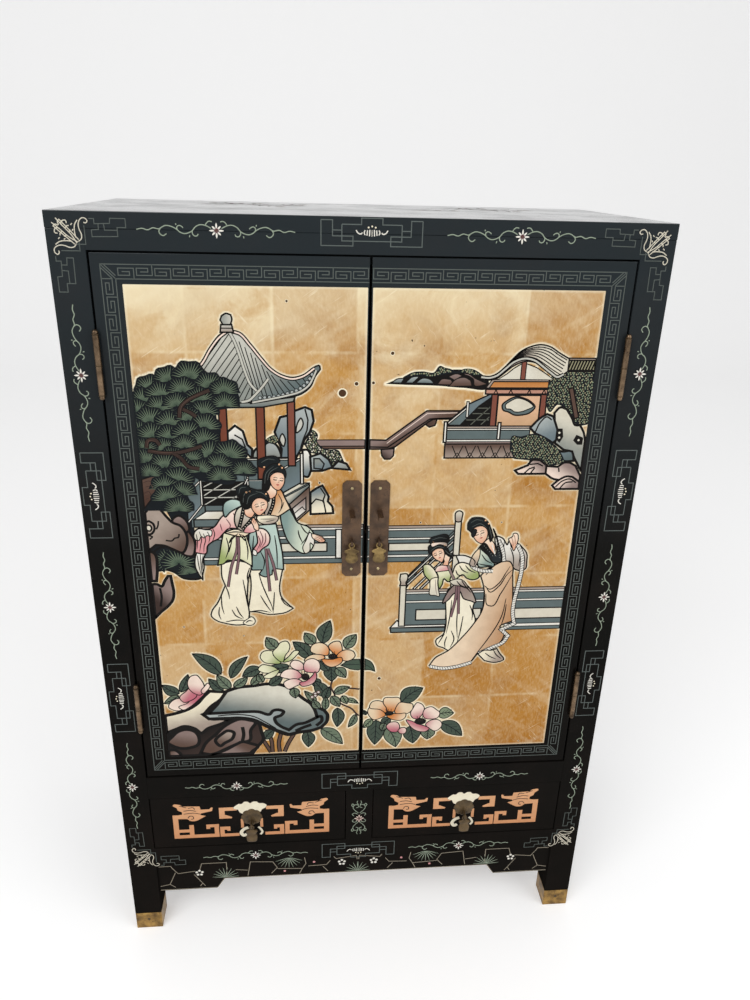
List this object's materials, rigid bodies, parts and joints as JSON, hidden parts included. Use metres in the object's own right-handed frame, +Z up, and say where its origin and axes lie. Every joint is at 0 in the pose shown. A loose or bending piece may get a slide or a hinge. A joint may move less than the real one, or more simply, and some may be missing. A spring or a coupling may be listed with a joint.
{
  "type": "console cabinet",
  "caption": "Black-lacquer console cabinet with gilt painted doors on barrel hinges over drawers, drop pulls, lock plates and brass-capped square legs.",
  "frame": {"origin": "on the floor, under the middle of the whole object's box", "axes": "+X to the right seen from the front, +Y to the back, +Z up"},
  "size_m": [0.61, 0.3274, 0.935],
  "materials": {
    "black_lacquer": "polished lacquer",
    "gold_leaf": "gold leaf under varnish",
    "inner_wood": "dark stained",
    "aged_brass": "aged",
    "yellow_brass": "worn polished",
    "brown_bronze": "patinated",
    "dark_bronze": "patinated"
  },
  "bodies": {
    "carcass": {"top_board": "black_lacquer", "front_left_leg": "black_lacquer", "front_right_leg": "black_lacquer", "back_left_leg": "black_lacquer", "back_right_leg": "black_lacquer", "top_rail": "black_lacquer", "middle_rail": "black_lacquer", "bottom_rail": "black_lacquer", "drawer_muntin": "black_lacquer", "front_apron": "black_lacquer", "left_side_apron": "black_lacquer", "right_side_apron": "black_lacquer", "left_side_panel": "black_lacquer", "right_side_panel": "black_lacquer", "back_panel": "inner_wood", "cupboard_floor": "inner_wood", "drawer_floor": "inner_wood", "drawer_partition": "inner_wood", "shelf": "inner_wood", "door_stop": "inner_wood", "floor_cleats": "inner_wood", "drawer_guides": "inner_wood", "shelf_cleats": "inner_wood", "foot_caps": "yellow_brass", "foot_cap_nails": "yellow_brass", "hinge_frame_leaves": "aged_brass", "hinge_pins": "aged_brass", "hinge_frame_screws": "aged_brass"},
    "left_door": {"left_door_board": "black_lacquer", "left_gilt_panel": "gold_leaf", "left_hinge_door_leaves": "aged_brass", "left_hinge_door_screws": "aged_brass", "left_lock_plate": "brown_bronze", "left_lock_plate_nails": "aged_brass", "left_lock_post": "brown_bronze", "left_door_pull_lug": "brown_bronze"},
    "left_door_pull": {"left_door_pull_drop": "aged_brass"},
    "left_drawer": {"left_drawer_front": "black_lacquer", "left_drawer_sides": "inner_wood", "left_drawer_back": "inner_wood", "left_drawer_bottom": "inner_wood", "left_drawer_pull_plate": "dark_bronze", "left_drawer_pull_lug": "dark_bronze"},
    "left_drawer_pull": {"left_drawer_pull_drop": "dark_bronze"},
    "right_door": {"right_door_board": "black_lacquer", "right_gilt_panel": "gold_leaf", "right_hinge_door_leaves": "aged_brass", "right_hinge_door_screws": "aged_brass", "right_lock_plate": "brown_bronze", "right_lock_plate_nails": "aged_brass", "right_lock_post": "brown_bronze", "right_door_pull_lug": "brown_bronze"},
    "right_door_pull": {"right_door_pull_drop": "aged_brass"},
    "right_drawer": {"right_drawer_front": "black_lacquer", "right_drawer_sides": "inner_wood", "right_drawer_back": "inner_wood", "right_drawer_bottom": "inner_wood", "right_drawer_pull_plate": "dark_bronze", "right_drawer_pull_lug": "dark_bronze"},
    "right_drawer_pull": {"right_drawer_pull_drop": "dark_bronze"}
  },
  "joints": [
    {"name": "left_door_hinge", "type": "hinge", "parent": "carcass", "child": "left_door", "pos_m": [-0.269, -0.1449, 0.582], "axis": [0, 0, -1], "range_deg": [0, 170]},
    {"name": "left_door_pull_swing", "type": "hinge", "parent": "left_door", "child": "left_door_pull", "pos_m": [-0.0154, -0.1477, 0.592], "axis": [-1, 0, 0], "range_deg": [-6, 85]},
    {"name": "left_drawer_slide", "type": "slide", "parent": "carcass", "child": "left_drawer", "axis": [0, -1, 0], "range_m": [0, 0.2]},
    {"name": "left_drawer_pull_swing", "type": "hinge", "parent": "left_drawer", "child": "left_drawer_pull", "pos_m": [-0.141, -0.1495, 0.185], "axis": [-1, 0, 0], "range_deg": [-6, 85]},
    {"name": "right_door_hinge", "type": "hinge", "parent": "carcass", "child": "right_door", "pos_m": [0.269, -0.1449, 0.582], "axis": [0, 0, 1], "range_deg": [0, 170]},
    {"name": "right_door_pull_swing", "type": "hinge", "parent": "right_door", "child": "right_door_pull", "pos_m": [0.0154, -0.1477, 0.592], "axis": [-1, 0, 0], "range_deg": [-6, 85]},
    {"name": "right_drawer_slide", "type": "slide", "parent": "carcass", "child": "right_drawer", "axis": [0, -1, 0], "range_m": [0, 0.2]},
    {"name": "right_drawer_pull_swing", "type": "hinge", "parent": "right_drawer", "child": "right_drawer_pull", "pos_m": [0.141, -0.1495, 0.185], "axis": [-1, 0, 0], "range_deg": [-6, 85]}
  ]
}
